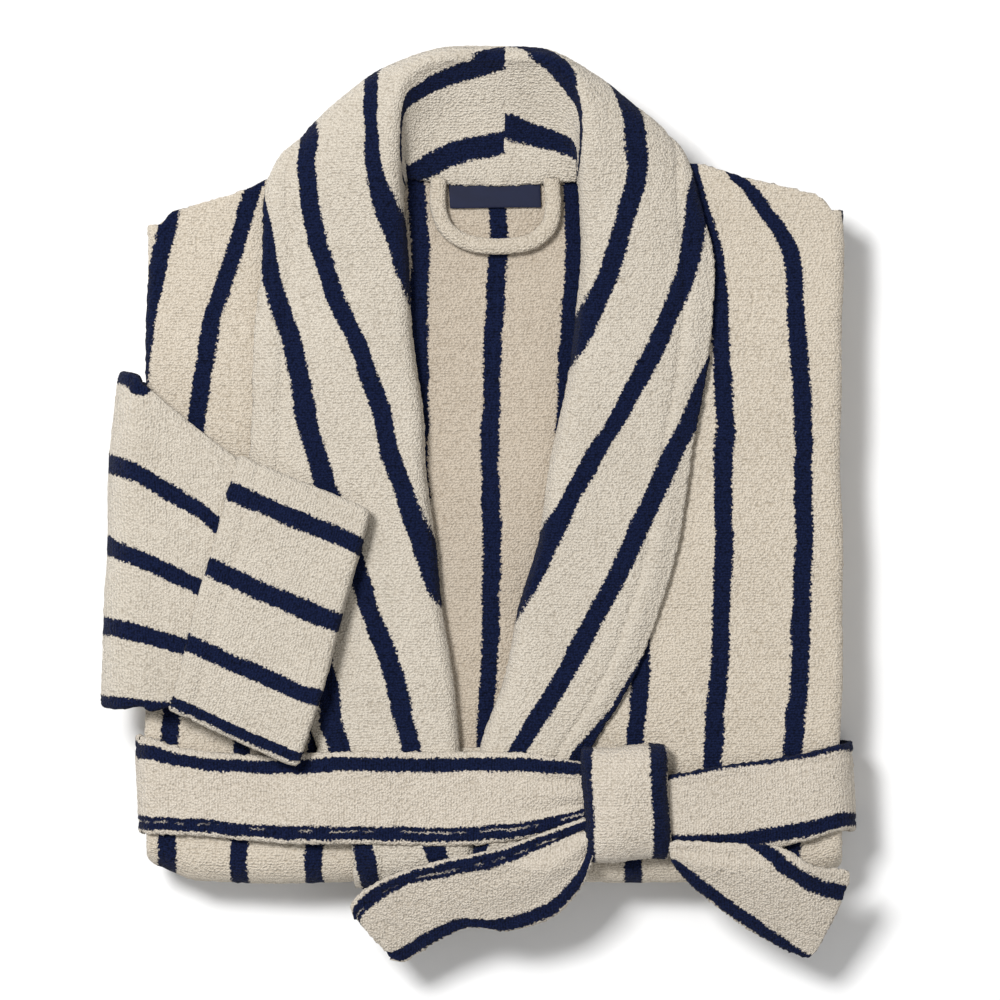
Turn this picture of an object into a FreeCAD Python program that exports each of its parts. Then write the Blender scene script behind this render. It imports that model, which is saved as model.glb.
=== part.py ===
"""Folded terry bathrobe with a shawl collar, tied with its own belt.

The body of the robe is a tube of three sewn panels: one back and two wrapped fronts. It lies on its back,
pressed flat, and is folded like a letter Z into three sections of equal width. +Y points to the collar, +X to
the wearer's left, +Z away from the surface that the robe lies on. The origin is the middle of the underside.
All sizes are in millimetres.
"""

import FreeCAD, Part
import math
import os

V = FreeCAD.Vector

# ---- driving dimensions -------------------------------------------------------------------------------------
fold_width = 441.0          # width of the folded robe
fold_length = 420.0         # bottom fold to shoulder point
cloth = 3.5                 # one layer of terry
clearance = 0.5             # between cloths that move past each other
side_room = 1.5             # between the sides of the packet and what goes round them
fold_gap = 7.0              # free space inside the bottom fold of the back panel
upper_fold_y = 170.0        # where the skirt turns back under the collar
hem_inset = 25.0            # hem of the skirt on the underside, from the bottom fold
seam_x = 155.0              # side seams, on the underside of each section
overlap_left = -58.0        # front edge of the wearer's left front, which lies outside
overlap_right = 50.0        # front edge of the wearer's right front, which lies inside

belt_width = 54.0           # width of the belt
belt_thick = 5.0            # two thin layers of terry
belt_inset = 57.0           # middle of the belt, from the bottom fold
knot_width = 54.0           # along X
knot_length = 71.0          # along Y
knot_height = 18.0          # above the belt
knot_round = 8.0
knot_x = 77.8
knot_offset = -5.5          # middle of the knot, from the middle of the belt
tail_drop = 10.0            # the tails start to droop this far inside the bottom fold
tail_droop = 28.0           # degrees below level

sleeve_space = 14.0         # height of the space that the sleeves fill between the sections
sleeve_top_y = 103.0        # upper and lower edge of the sleeve where it folds round the side
sleeve_low_y = -100.0
sleeve_bend_r = 18.75       # middle of the cloth where the sleeve folds round the side
sleeve_bend_thick = 8.0
cuff_depth = 86.0           # turned-back cuff, along the sleeve
cuff_open = 164.0           # across the sleeve
cuff_angle = -24.0          # direction of the sleeve on the front, degrees from +X
cuff_skew = 8.0             # how far the cuff's hem leans from square to the sleeve, degrees
cuff_hem_x = -158.7         # upper corner of the cuff's hem
cuff_hem_y = 55.8

neck_y = 229.0              # neck seam
neck_left = -61.0
neck_right = 52.0
collar_mid_x = 2.5          # centre back seam of the collar
collar_reach = 127.0        # half width of the collar's roll round the neck
collar_rise = 78.0          # how far the roll reaches past the neck seam
collar_fall = 62.0          # depth of the fall behind the roll

loop_mid_x = -3.5           # hanging loop
loop_half = 35.0
loop_tube = 10.0
loop_leg = 3.5
loop_y = 222.0
label_width = 58.0
label_length = 18.5
label_thick = 0.8
pocket_width = 150.0
pocket_from_middle = 60.0
pocket_length = 180.0
pocket_open_y = -99.0

# ---- levels, from the surface up ----------------------------------------------------------------------------
half = fold_width / 2
bottom_y = -fold_length / 2
shoulder_y = fold_length / 2 - 3.0
hem_y = bottom_y + hem_inset
belt_y = bottom_y + belt_inset
belt_low_y = belt_y - belt_width / 2
belt_high_y = belt_y + belt_width / 2
knot_y = belt_y + knot_offset
v_y = belt_high_y - 2.0                 # bottom of the neck opening, under the belt
channel = belt_thick + clearance        # roof of the channel that the belt's back run presses into the underside
b3 = 0.0                                # undersides of the layers: back, inner front and outer front of section 3
i3 = channel + cloth
f3 = i3 + cloth
pocket_z = f3 + cloth
f2 = pocket_z + cloth                   # section 2 lies face down
i2 = f2 + cloth
b2 = i2 + cloth
sleeve_z = b2 + cloth
b1 = sleeve_z + sleeve_space            # section 1 lies face up
i1 = b1 + cloth
f1 = i1 + cloth
front_z = f1 + cloth                    # outside of the front panels
facing_z = front_z
collar_z = facing_z + cloth
collar_top = collar_z + cloth
belt_z = collar_top + clearance         # underside of the belt's front run
belt_top = belt_z + belt_thick
cuff_z = belt_top + clearance           # the cuff lies over the belt
sleeve_lay_z = cuff_z + cloth           # underside of the sleeve on the front
cuff_top = sleeve_lay_z + 3 * cloth

low_axis_z = (b2 + cloth + b1) / 2      # middle of the bottom fold
low_axis_y = bottom_y + (front_z - f2) / 2
turn_y = upper_fold_y - (b2 + cloth) / 2        # middle of the fold under the collar
top_y = neck_y + 16.0                           # cloth above the shoulder seam, before it is trimmed
channel_y = belt_high_y + clearance             # upper end of the channel for the belt
ramp_y = channel_y + 12.0                       # where the underside is flat again
BIG = 1000.0


# ---- helpers ------------------------------------------------------------------------------------------------
def box(x0, x1, y0, y1, z0, z1):
    return Part.makeBox(x1 - x0, y1 - y0, z1 - z0, V(x0, y0, z0))


def fuse(*solids):
    joined = solids[0].fuse(list(solids[1:]))
    return joined.removeSplitter()


def prism(points, z0, z1):
    """An upright block over a closed polygon."""
    wire = Part.makePolygon([V(x, y, z0) for x, y in points + points[:1]])
    return Part.Face(wire).extrude(V(0, 0, z1 - z0))


def block_yz(points, x0, x1):
    """A closed polygon in the YZ plane, given a width along X."""
    wire = Part.makePolygon([V(x0, y, z) for y, z in points + points[:1]])
    return Part.Face(wire).extrude(V(x1 - x0, 0, 0))


def sheet_yz(points, thick, x0, x1):
    """A bent sheet whose underside is a polyline in the YZ plane, with its thickness along Z."""
    return block_yz(points + [(y, z + thick) for y, z in reversed(points)], x0, x1)


def half_ring(x0, x1, y, z, inner, outer, side):
    """Half of a tube along X, on the +Y (side 1) or -Y (side -1) side of its axis."""
    tube = Part.makeCylinder(outer, x1 - x0, V(x0, y, z), V(1, 0, 0))
    if inner > 0:
        tube = tube.cut(Part.makeCylinder(inner, x1 - x0, V(x0, y, z), V(1, 0, 0)))
    y0, y1 = (y, y + BIG) if side > 0 else (y - BIG, y)
    return tube.common(box(x0, x1, y0, y1, z - BIG, z + BIG))


def upright_edges(solid):
    return [e for e in solid.Edges if abs(e.Vertexes[0].Z - e.Vertexes[1].Z) > 1]


def spline_face(edges, z):
    """A face bounded by curves through points; each curve starts where the one before it ends."""
    made = []
    for points in edges:
        places = [V(x, y, z) for x, y in points]
        if len(places) == 2:
            made.append(Part.LineSegment(*places).toShape())
        else:
            curve = Part.BSplineCurve()
            curve.interpolate(places)
            made.append(curve.toShape())
    return Part.Face(Part.Wire(made))


# ---- the three body panels ----------------------------------------------------------------------------------
def folded_layer(x0, x1, z1, z2, z3, hem_z):
    """A strip of one layer through all three sections, given by its underside in each and at the hem."""
    turn_z = (z2 + z3 + cloth) / 2
    return fuse(
        box(x0, x1, low_axis_y, top_y, z1, z1 + cloth),
        half_ring(x0, x1, low_axis_y, low_axis_z, low_axis_z - z2 - cloth, low_axis_z - z2, -1),
        box(x0, x1, low_axis_y, turn_y, z2, z2 + cloth),
        half_ring(x0, x1, turn_y, turn_z, (z2 - z3 - cloth) / 2, (z2 + cloth - z3) / 2, 1),
        sheet_yz([(hem_y, hem_z), (channel_y, hem_z), (ramp_y, z3), (turn_y, z3)], cloth, x0, x1),
    )


def back_layer(x0, x1):
    return folded_layer(x0, x1, b1, b2, b3, channel)


def inner_layer(x0, x1):
    return folded_layer(x0, x1, i1, i2, i3, i3)


def outer_layer(x0, x1):
    return folded_layer(x0, x1, f1, f2, f3, f3)


def side_wall(x0, x1):
    """The fold that closes a side of the tube, between the front layer and the back layer."""
    turn = half_ring(x0, x1, turn_y, (b2 + cloth) / 2, 0, (b2 + cloth) / 2, 1)
    slit = half_ring(x0, x1, turn_y, (f2 + f3 + cloth) / 2, 0, (f2 - f3 - cloth) / 2, 1)
    lower = [(hem_y, channel), (channel_y, channel), (ramp_y, b3), (turn_y, b3), (turn_y, f3 + cloth),
             (hem_y, f3 + cloth)]
    return fuse(
        box(x0, x1, low_axis_y, top_y, b1, front_z),
        half_ring(x0, x1, low_axis_y, low_axis_z, low_axis_z - b2 - cloth, low_axis_z - f2, -1),
        box(x0, x1, low_axis_y, turn_y, f2, b2 + cloth),
        turn.cut(slit),
        block_yz(lower, x0, x1),
    )


def shoulder_waste(side):
    """What is cut away beyond the sloping shoulder seam, on one side."""
    neck = neck_left - 14.0 if side < 0 else neck_right + 16.0
    line = [(side * (half + 1), shoulder_y - 12), (side * (half - 14), shoulder_y),
            (side * 130, shoulder_y + 25), (neck, neck_y + 9)]
    return prism(line + [(neck, BIG), (side * BIG, BIG), (side * BIG, shoulder_y - 12)], b1 - 1, front_z + 1)


def front_panel(side):
    """side -1 is the wearer's right front, which lies inside at the overlap; side 1 is the left, outside."""
    neck_cut_left = [(neck_left - 14, top_y), (-40, v_y)]
    neck_cut_right = [(5, v_y), (neck_right + 16, top_y)]
    outer_x = side * half
    wall = sorted((outer_x, outer_x - side * cloth))
    back = sorted((outer_x, side * seam_x))
    if side < 0:
        flat = fuse(outer_layer(-half, overlap_left), inner_layer(overlap_left - cloth, overlap_right))
        neck = prism(neck_cut_left + [(BIG, v_y), (BIG, top_y)], i1, front_z + 1)
    else:
        flat = outer_layer(overlap_left, half)
        neck = prism([(-BIG, top_y), (-BIG, v_y)] + neck_cut_right, i1, front_z + 1)
    panel = fuse(flat, side_wall(*wall), back_layer(*back))
    return panel.cut(neck).cut(shoulder_waste(side)).removeSplitter()


def back_panel():
    panel = back_layer(-seam_x, seam_x)
    neck = box(neck_left - 14.0, neck_right + 16.0, neck_y + 3, BIG, b1 - 1, front_z + 1)
    panel = panel.cut(neck).cut(shoulder_waste(-1)).cut(shoulder_waste(1))
    return panel.removeSplitter()


# ---- shawl collar -------------------------------------------------------------------------------------------
def lapel_face(side, z):
    """The flat outline of one half of the collar below the neck seam, from its outer edge to its roll line."""
    if side < 0:
        outer = [(-134, neck_y), (-150.7, 176.7), (-154.4, 89.9), (-152, 15.5), (-131, -83.7),
                 (-115, belt_high_y + 5), (-92, low_axis_y)]
        inner = [(-18, low_axis_y), (-27.3, belt_high_y), (-39.7, -37.8), (-50.8, 71.3), (-57.7, 151.9),
                 (neck_left, neck_y)]
    else:
        outer = [(118.3, neck_y), (121.3, 202), (132, 150), (121.5, 61.4), (104.8, -16.7),
                 (73.2, belt_high_y + 35), (40, low_axis_y)]
        inner = [(-16, low_axis_y), (-8.7, belt_high_y), (21.7, -24.2), (38.4, 77.5), (49, 158),
                 (neck_right, neck_y)]
    bottom = [outer[-1], inner[0]]
    top = [inner[-1], outer[0]]
    return spline_face([outer, bottom, inner, top], z)


def half_ellipse(reach, rise, z, height):
    """An upright block over the half ellipse past the neck seam."""
    ellipse = Part.Ellipse(V(collar_mid_x, neck_y, z), reach, rise).toShape()
    block = Part.Face(Part.Wire([ellipse])).extrude(V(0, 0, height))
    return block.common(box(-BIG, BIG, neck_y, BIG, -BIG, BIG))


def collar_half(side, inset, top_z, low_z):
    """One half of one layer of the collar: the lapel, the roll round the neck, and the fall behind it."""
    reach, rise = collar_reach - inset, collar_rise - inset
    top = fuse(lapel_face(side, top_z).extrude(V(0, 0, cloth)), half_ellipse(reach, rise, top_z, cloth))
    wall = half_ellipse(reach, rise, low_z, top_z - low_z).cut(
        half_ellipse(reach - cloth, rise - cloth, low_z - 1, top_z - low_z + 2))
    clear_of_back = box(-BIG, BIG, neck_y + collar_rise - collar_fall, BIG, -BIG, BIG)
    fall = half_ellipse(reach, rise, low_z, cloth).common(clear_of_back)
    whole = fuse(top, wall.common(clear_of_back), fall)
    x0, x1 = (-BIG, collar_mid_x) if side < 0 else (collar_mid_x, BIG)
    return whole.common(box(x0, x1, -BIG, BIG, -BIG, BIG)).removeSplitter()


# ---- sleeves and cuffs --------------------------------------------------------------------------------------
def heading(degrees):
    """The level direction at an angle from +X."""
    return V(math.cos(math.radians(degrees)), math.sin(math.radians(degrees)), 0)


along = heading(cuff_angle)
across = heading(cuff_angle + cuff_skew + 90)
bend_x = -half - side_room
bend_z = (sleeve_z + b1) / 2 + sleeve_bend_r


def cuff_point(down, out):
    """A point of the cuff: down from its upper edge, and out from its hem towards the hand."""
    p = V(cuff_hem_x, cuff_hem_y, 0) - across * down + along * out
    return (p.x, p.y)


def cuff_block(margin, out0, out1, z0, z1):
    low, high = cuff_open - margin, margin
    return prism([cuff_point(high, out0), cuff_point(high, out1), cuff_point(low, out1), cuff_point(low, out0)],
                 z0, z1)


def cuff_right():
    sheath = cuff_block(0, 0, cuff_depth, cuff_z, cuff_top)
    room = cuff_block(cloth, -10, cuff_depth - cloth, sleeve_lay_z - clearance / 2,
                      sleeve_lay_z + 2 * cloth + clearance / 2)
    return sheath.cut(room)


def sleeve_right_forearm():
    """The sleeve on the front, from the fold round the side into the cuff."""
    margin = cloth + clearance
    end = cuff_depth - cloth - clearance
    outline = [(bend_x, sleeve_top_y), cuff_point(margin, -8), cuff_point(margin, end),
               cuff_point(cuff_open - margin, end), cuff_point(cuff_open - margin, -2),
               (bend_x, sleeve_low_y)]
    return prism(outline, sleeve_lay_z, sleeve_lay_z + 2 * cloth)


def sleeve_right_fold():
    """Where the sleeve folds round the side of the robe."""
    length = sleeve_top_y - sleeve_low_y
    base = V(bend_x, sleeve_low_y, bend_z)
    outer = Part.makeCylinder(sleeve_bend_r + sleeve_bend_thick / 2, length, base, V(0, 1, 0))
    inner = Part.makeCylinder(sleeve_bend_r - sleeve_bend_thick / 2, length, base, V(0, 1, 0))
    return outer.cut(inner).common(box(-BIG, bend_x, -BIG, BIG, -BIG, BIG))


def sleeve_right_upper():
    """The sleeve from its armhole, between the sections, to the fold round the side."""
    outline = [(bend_x, sleeve_top_y), (bend_x, sleeve_low_y), (-120, sleeve_low_y + 40), (-70, 60),
               (-70, shoulder_y - 12), (-half + 8, shoulder_y - 12), (-half + 8, sleeve_top_y)]
    return prism(outline, sleeve_z, b1)


sleeve_left_in, sleeve_left_out = 60.0, 212.0
sleeve_left_end = -110.0


def sleeve_left():
    """The other sleeve, hidden between the sections, pressed thin where its cuff goes round it."""
    cuff_start = sleeve_left_end + cuff_depth
    arm = box(sleeve_left_in, sleeve_left_out, cuff_start + clearance, shoulder_y - 12, sleeve_z, b1)
    room = box(sleeve_left_in + cloth, sleeve_left_out - cloth, cuff_start - 1, shoulder_y - 12 - cloth,
               sleeve_z + cloth, b1 - cloth)
    wrist = box(sleeve_left_in + cloth, sleeve_left_out - cloth, sleeve_left_end + cloth, cuff_start + 2 * cloth,
                sleeve_z + cloth, b1 - cloth)
    return fuse(arm.cut(room), wrist)


def cuff_left():
    y1 = sleeve_left_end + cuff_depth
    sheath = box(sleeve_left_in, sleeve_left_out, sleeve_left_end, y1, sleeve_z, b1)
    room = box(sleeve_left_in + cloth, sleeve_left_out - cloth, sleeve_left_end + cloth, y1 + 1,
               sleeve_z + cloth, b1 - cloth)
    return sheath.cut(room)


# ---- belt ---------------------------------------------------------------------------------------------------
def belt_wrap():
    """The belt round the folded robe: a flat ring that could be pushed off past the bottom fold."""
    x_in = half + side_room
    x_out = x_in + belt_thick
    ring = box(-x_out, x_out, belt_low_y, belt_high_y, 0, belt_top)
    edges_along_y = [e for e in ring.Edges if abs(e.Vertexes[0].Y - e.Vertexes[1].Y) > 1]
    ring = ring.makeFillet(belt_thick * 0.9, edges_along_y)
    return ring.cut(box(-x_in, x_in, belt_low_y - 1, belt_high_y + 1, belt_thick, belt_z))


def belt_knot():
    x0, x1 = knot_x - knot_width / 2, knot_x + knot_width / 2
    y0, y1 = knot_y - knot_length / 2, knot_y + knot_length / 2
    knot = box(x0, x1, y0, y1, belt_top, belt_top + knot_height)
    knot = knot.makeFillet(knot_round, upright_edges(knot))
    crown = [e for e in knot.Edges if min(v.Z for v in e.Vertexes) > belt_top + knot_height - 0.01]
    return knot.makeFillet(knot_round * 0.9, crown)


tail_z = belt_top + clearance
tail_hinge_gap = belt_thick / 2 + clearance
left_hinge_x = knot_x - knot_width / 2 - tail_hinge_gap
right_hinge_x = knot_x + knot_width / 2 + tail_hinge_gap
hinge_z = tail_z + belt_thick / 2
tail_root_low = bottom_y + 11.0         # where each tail leaves the knot
left_root_high = bottom_y + 42.0
right_root_high = bottom_y + 26.0


def tail(beyond_root, hinge_x, root_high):
    """A tail of the belt: level beside the knot, then drooping past the bottom fold.

    Its outline goes on from the upper end of its root, in steps across from the hinge and up from the bottom
    fold, to the lower end of its root.
    """
    outline = [(hinge_x, root_high)]
    outline += [(hinge_x + across_by, bottom_y + up_by) for across_by, up_by in beyond_root]
    outline += [(hinge_x, tail_root_low)]
    end_y = min(y for x, y in outline) - 1
    drop_y = bottom_y + tail_drop
    drop = (drop_y - end_y) * math.tan(math.radians(tail_droop))
    sheet = sheet_yz([(end_y, tail_z - drop), (drop_y, tail_z), (root_high, tail_z)], belt_thick, -BIG, BIG)
    root = V(hinge_x, tail_root_low, hinge_z)
    barrel = Part.makeCylinder(belt_thick / 2, root_high - tail_root_low, root, V(0, 1, 0))
    return fuse(sheet.common(prism(outline, -BIG, BIG)), barrel)


def belt_tail_left():
    return tail([(-36, 24), (-98, 10), (-126, -3), (-141, -15), (-113, -51), (-86, -31), (-72, -25), (-36, -27),
                 (-12, -10)], left_hinge_x, left_root_high)


def belt_tail_right():
    return tail([(65, 22), (85, 8), (110.5, -7), (100, -29), (83, -46), (69, -38), (40, -22), (21, -7)],
                right_hinge_x, right_root_high)


# ---- small pieces -------------------------------------------------------------------------------------------
def hang_loop():
    """A soft tube: two short legs and a half circle, lying on the back panel below the neck seam."""
    r = loop_tube / 2
    z = i1 + clearance + r
    arc_y = loop_y - loop_leg
    ring = Part.makeTorus(loop_half, r, V(loop_mid_x, arc_y, z), V(0, 0, 1))
    ring = ring.common(box(-BIG, BIG, -BIG, arc_y, -BIG, BIG))
    pieces = [ring]
    for x in (loop_mid_x - loop_half, loop_mid_x + loop_half):
        pieces.append(Part.makeCylinder(r, loop_leg, V(x, arc_y, z), V(0, 1, 0)))
        pieces.append(Part.makeSphere(r, V(x, loop_y, z)))
    return fuse(*pieces)


def neck_label():
    y1 = neck_y - 3.0
    x0 = loop_mid_x - label_width / 2
    return box(x0, x0 + label_width, y1 - label_length, y1, i1, i1 + label_thick)


def care_label():
    return box(seam_x - 35, seam_x - 1, -60, -10, b2 - 0.6, b2)


def pocket(side):
    x0, x1 = sorted((side * pocket_from_middle, side * (pocket_from_middle + pocket_width)))
    return box(x0, x1, pocket_open_y, pocket_open_y + pocket_length, pocket_z, f2)


def belt_loop(side):
    x = side * seam_x
    reach = belt_width / 2 + 8
    strap = box(x - 4, x + 4, belt_y - reach, belt_y + reach, b1 - 2.5, b1)
    return strap.cut(box(x - 5, x + 5, belt_y - reach + 6, belt_y + reach - 6, b1 - 1, b1 + 1))


nodes = {
    "back_panel": back_panel(),
    "front_panel_right": front_panel(-1),
    "front_panel_left": front_panel(1),
    "collar_right": collar_half(-1, 0, collar_z, collar_z - 20),
    "collar_left": collar_half(1, 0, collar_z, collar_z - 20),
    "collar_facing_right": collar_half(-1, cloth, facing_z, collar_z - 20 + cloth),
    "collar_facing_left": collar_half(1, cloth, facing_z, collar_z - 20 + cloth),
    "neck_label": neck_label(),
    "care_label": care_label(),
    "pocket_right": pocket(-1),
    "pocket_left": pocket(1),
    "belt_loop_right": belt_loop(-1),
    "belt_loop_left": belt_loop(1),
    "sleeve_right_upper": sleeve_right_upper(),
    "sleeve_right_fold": sleeve_right_fold(),
    "sleeve_right_forearm": sleeve_right_forearm(),
    "cuff_right": cuff_right(),
    "sleeve_left": sleeve_left(),
    "cuff_left": cuff_left(),
    "hang_loop": hang_loop(),
    "belt_wrap": belt_wrap(),
    "belt_knot": belt_knot(),
    "belt_tail_left": belt_tail_left(),
    "belt_tail_right": belt_tail_right(),
}

os.makedirs("parts", exist_ok=True)
for name, shape in nodes.items():
    shape.exportStep(os.path.join("parts", name + ".step"))
    b = shape.BoundBox
    print(f"{name:22s} solids {len(shape.Solids)} valid {shape.isValid()} volume {shape.Volume:9.0f}"
          f"  x {b.XMin:.1f} {b.XMax:.1f}  y {b.YMin:.1f} {b.YMax:.1f}  z {b.ZMin:.1f} {b.ZMax:.1f}")
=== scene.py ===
"""Looks of a folded terry bathrobe, tied with its belt.

Every piece is a cloth shell worked out from a grid of points on the middle of the cloth.
Lengths are written in millimetres and made metres when a mesh is built.
+Y is the collar, +X the wearer's left, +Z up.
"""

import math
import bpy
import numpy as np
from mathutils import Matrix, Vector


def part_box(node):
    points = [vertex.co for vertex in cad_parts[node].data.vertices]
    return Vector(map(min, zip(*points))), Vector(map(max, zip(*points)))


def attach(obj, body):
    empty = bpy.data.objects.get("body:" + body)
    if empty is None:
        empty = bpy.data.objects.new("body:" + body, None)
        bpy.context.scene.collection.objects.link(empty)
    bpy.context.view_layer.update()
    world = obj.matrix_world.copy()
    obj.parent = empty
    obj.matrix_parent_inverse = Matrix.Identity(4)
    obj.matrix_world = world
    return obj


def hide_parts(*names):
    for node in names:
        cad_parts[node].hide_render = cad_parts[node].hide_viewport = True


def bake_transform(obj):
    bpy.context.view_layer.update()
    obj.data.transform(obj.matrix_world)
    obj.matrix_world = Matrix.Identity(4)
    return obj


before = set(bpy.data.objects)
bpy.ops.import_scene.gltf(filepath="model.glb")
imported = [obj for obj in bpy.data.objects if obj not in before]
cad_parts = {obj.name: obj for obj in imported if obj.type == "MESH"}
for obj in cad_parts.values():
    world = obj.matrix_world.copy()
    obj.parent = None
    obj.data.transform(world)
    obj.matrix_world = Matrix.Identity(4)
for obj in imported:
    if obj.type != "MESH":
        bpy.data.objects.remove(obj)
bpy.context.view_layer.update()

MM = 0.001
rng = np.random.default_rng(7)


def cad(node):
    """A CAD node's low and high corner in millimetres."""
    low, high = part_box(node)
    return np.array(low) / MM, np.array(high) / MM


# ---- sizes taken from the frame ----------------------------------------------
CLOTH = 3.5                                    # thickness of the body cloth
HALF = cad("front_panel_left")[1][0]
FOLD_Y = cad("front_panel_left")[0][1]
HEM_Y = FOLD_Y + 25
FRONT_Z = cad("front_panel_left")[1][2]
BACK_Z = cad("back_panel")[1][2]
SLEEVE_LOW, SLEEVE_HIGH = (corner[2] for corner in cad("sleeve_left"))
SEAM_X = cad("back_panel")[1][0]
BELT_HIGH = cad("belt_wrap")[1]
KNOT_LOW, KNOT_HIGH = cad("belt_knot")
PITCH = 48.0                                   # stripe to stripe across the cloth
STRIPE = 11.4                                  # width of a stripe


# ---- curves and grids --------------------------------------------------------
def smooth(value, low, high):
    """0 below low, 1 above high, and an even slope between."""
    t = np.clip((value - low) / (high - low), 0, 1)
    return t * t * (3 - 2 * t)


def through(points, where):
    """A smooth curve through points, read at places counted in points from 0."""
    points = np.asarray(points, float)
    where = np.clip(np.asarray(where, float), 0, len(points) - 1)
    i = np.minimum(where.astype(int), len(points) - 2)
    t = (where - i).reshape((-1,) + (1,) * (points.ndim - 1))
    padded = np.concatenate([2 * points[:1] - points[1:2], points, 2 * points[-1:] - points[-2:-1]])
    a, b, c, d = padded[i], padded[i + 1], padded[i + 2], padded[i + 3]
    bend, twist = 2 * a - 5 * b + 4 * c - d, 3 * b - a - 3 * c + d
    return 0.5 * (2 * b + (c - a) * t + bend * t**2 + twist * t**3)


def spread(points, count):
    """count places along a curve through points, evenly spaced by length."""
    fine = np.linspace(0, len(points) - 1, 60 * len(points))
    line = through(points, fine)
    run = np.concatenate([[0], np.cumsum(np.linalg.norm(np.diff(line, axis=0), axis=1))])
    return np.interp(np.linspace(0, run[-1], count), run, fine)


def at_row(line, y):
    """x of a line at height y. Its points run downwards, and it goes straight on past its ends."""
    line = np.asarray(line, float)[::-1]
    x = np.interp(y, line[:, 1], line[:, 0])
    ends = ((line[1], line[0], y < line[0, 1]), (line[-2], line[-1], y > line[-1, 1]))
    for (x0, y0), (x1, y1), beyond in ends:
        slope = (x1 - x0) / (y1 - y0)
        x = np.where(beyond, x1 + slope * (y - y1), x)
    return x


def pair(across, along):
    """Grain of a grid: across and along the warp."""
    return np.stack([across, along], axis=-1)


def grain_from_stripes(x, y, stripes, first):
    """How far across the cloth a place is, when its stripes follow the given lines, in order of x."""
    rows = np.array([at_row(line, y) for line in stripes])
    grain = first * PITCH + (x - rows[0])
    for k in range(len(stripes) - 1):
        gap = np.maximum(rows[k + 1] - rows[k], 1)
        t, true_width = (x - rows[k]) / gap, np.clip(gap / PITCH, 0.3, 2.6)
        share = t * t * (3 - 2 * t) + true_width * t * (1 - t) * (1 - 2 * t)
        inside = (first + k + share) * PITCH
        grain = np.where(x >= rows[k], inside, grain)
    past = (first + len(stripes) - 1) * PITCH + (x - rows[-1])
    return np.where(x >= rows[-1], past, grain)


def settle(p):
    """The robe's own unevenness: soft hollows and swells that every layer shares, and rounded corners."""
    q = np.array(p, float)
    x, y, z = p[..., 0], p[..., 1], p[..., 2]
    height = np.clip(z / 60, 0, 1.3)
    swell = np.sin(x / 47 + 0.6) * np.sin(y / 61 + 1.1) + 0.6 * np.sin(x / 23 - y / 37 + 2.0)
    q[..., 2] += 0.8 * height * swell
    q[..., 0] += 0.9 * np.sin(y / 33 + z / 19) + 0.5 * np.sin(y / 14.0 + 1.3)
    q[..., 1] += 0.8 * np.sin(x / 41 + z / 23) + 0.5 * np.sin(x / 17.0 + 0.4)
    corner = smooth(np.abs(x), HALF - 34, HALF + 2) * smooth(-y, -FOLD_Y - 40, -FOLD_Y)
    q[..., 1] += 11 * corner
    return q


# ---- cloth shells ------------------------------------------------------------
def normals_of(grid, closed=False):
    """Directions square to a grid; a closed one joins its last row to its first."""
    if closed:
        along = np.roll(grid, -1, axis=0) - np.roll(grid, 1, axis=0)
    else:
        along = np.gradient(grid, axis=0)
    across = np.gradient(grid, axis=1)
    n = np.cross(along, across)
    return n / np.maximum(np.linalg.norm(n, axis=2, keepdims=True), 1e-9)


def unit(v):
    return v / np.maximum(np.linalg.norm(v, axis=-1, keepdims=True), 1e-9)


def stitched(distance, place, width, depth):
    """The dent of a stitched line at a place, for points at a distance from an edge."""
    return depth * np.exp(-((distance - place) / width) ** 2)


def quads(ids):
    """Faces of a grid of vertex numbers."""
    a, b, c, d = ids[:-1, :-1], ids[1:, :-1], ids[1:, 1:], ids[:-1, 1:]
    return np.stack([a, b, c, d], axis=-1).reshape(-1, 4)


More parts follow.
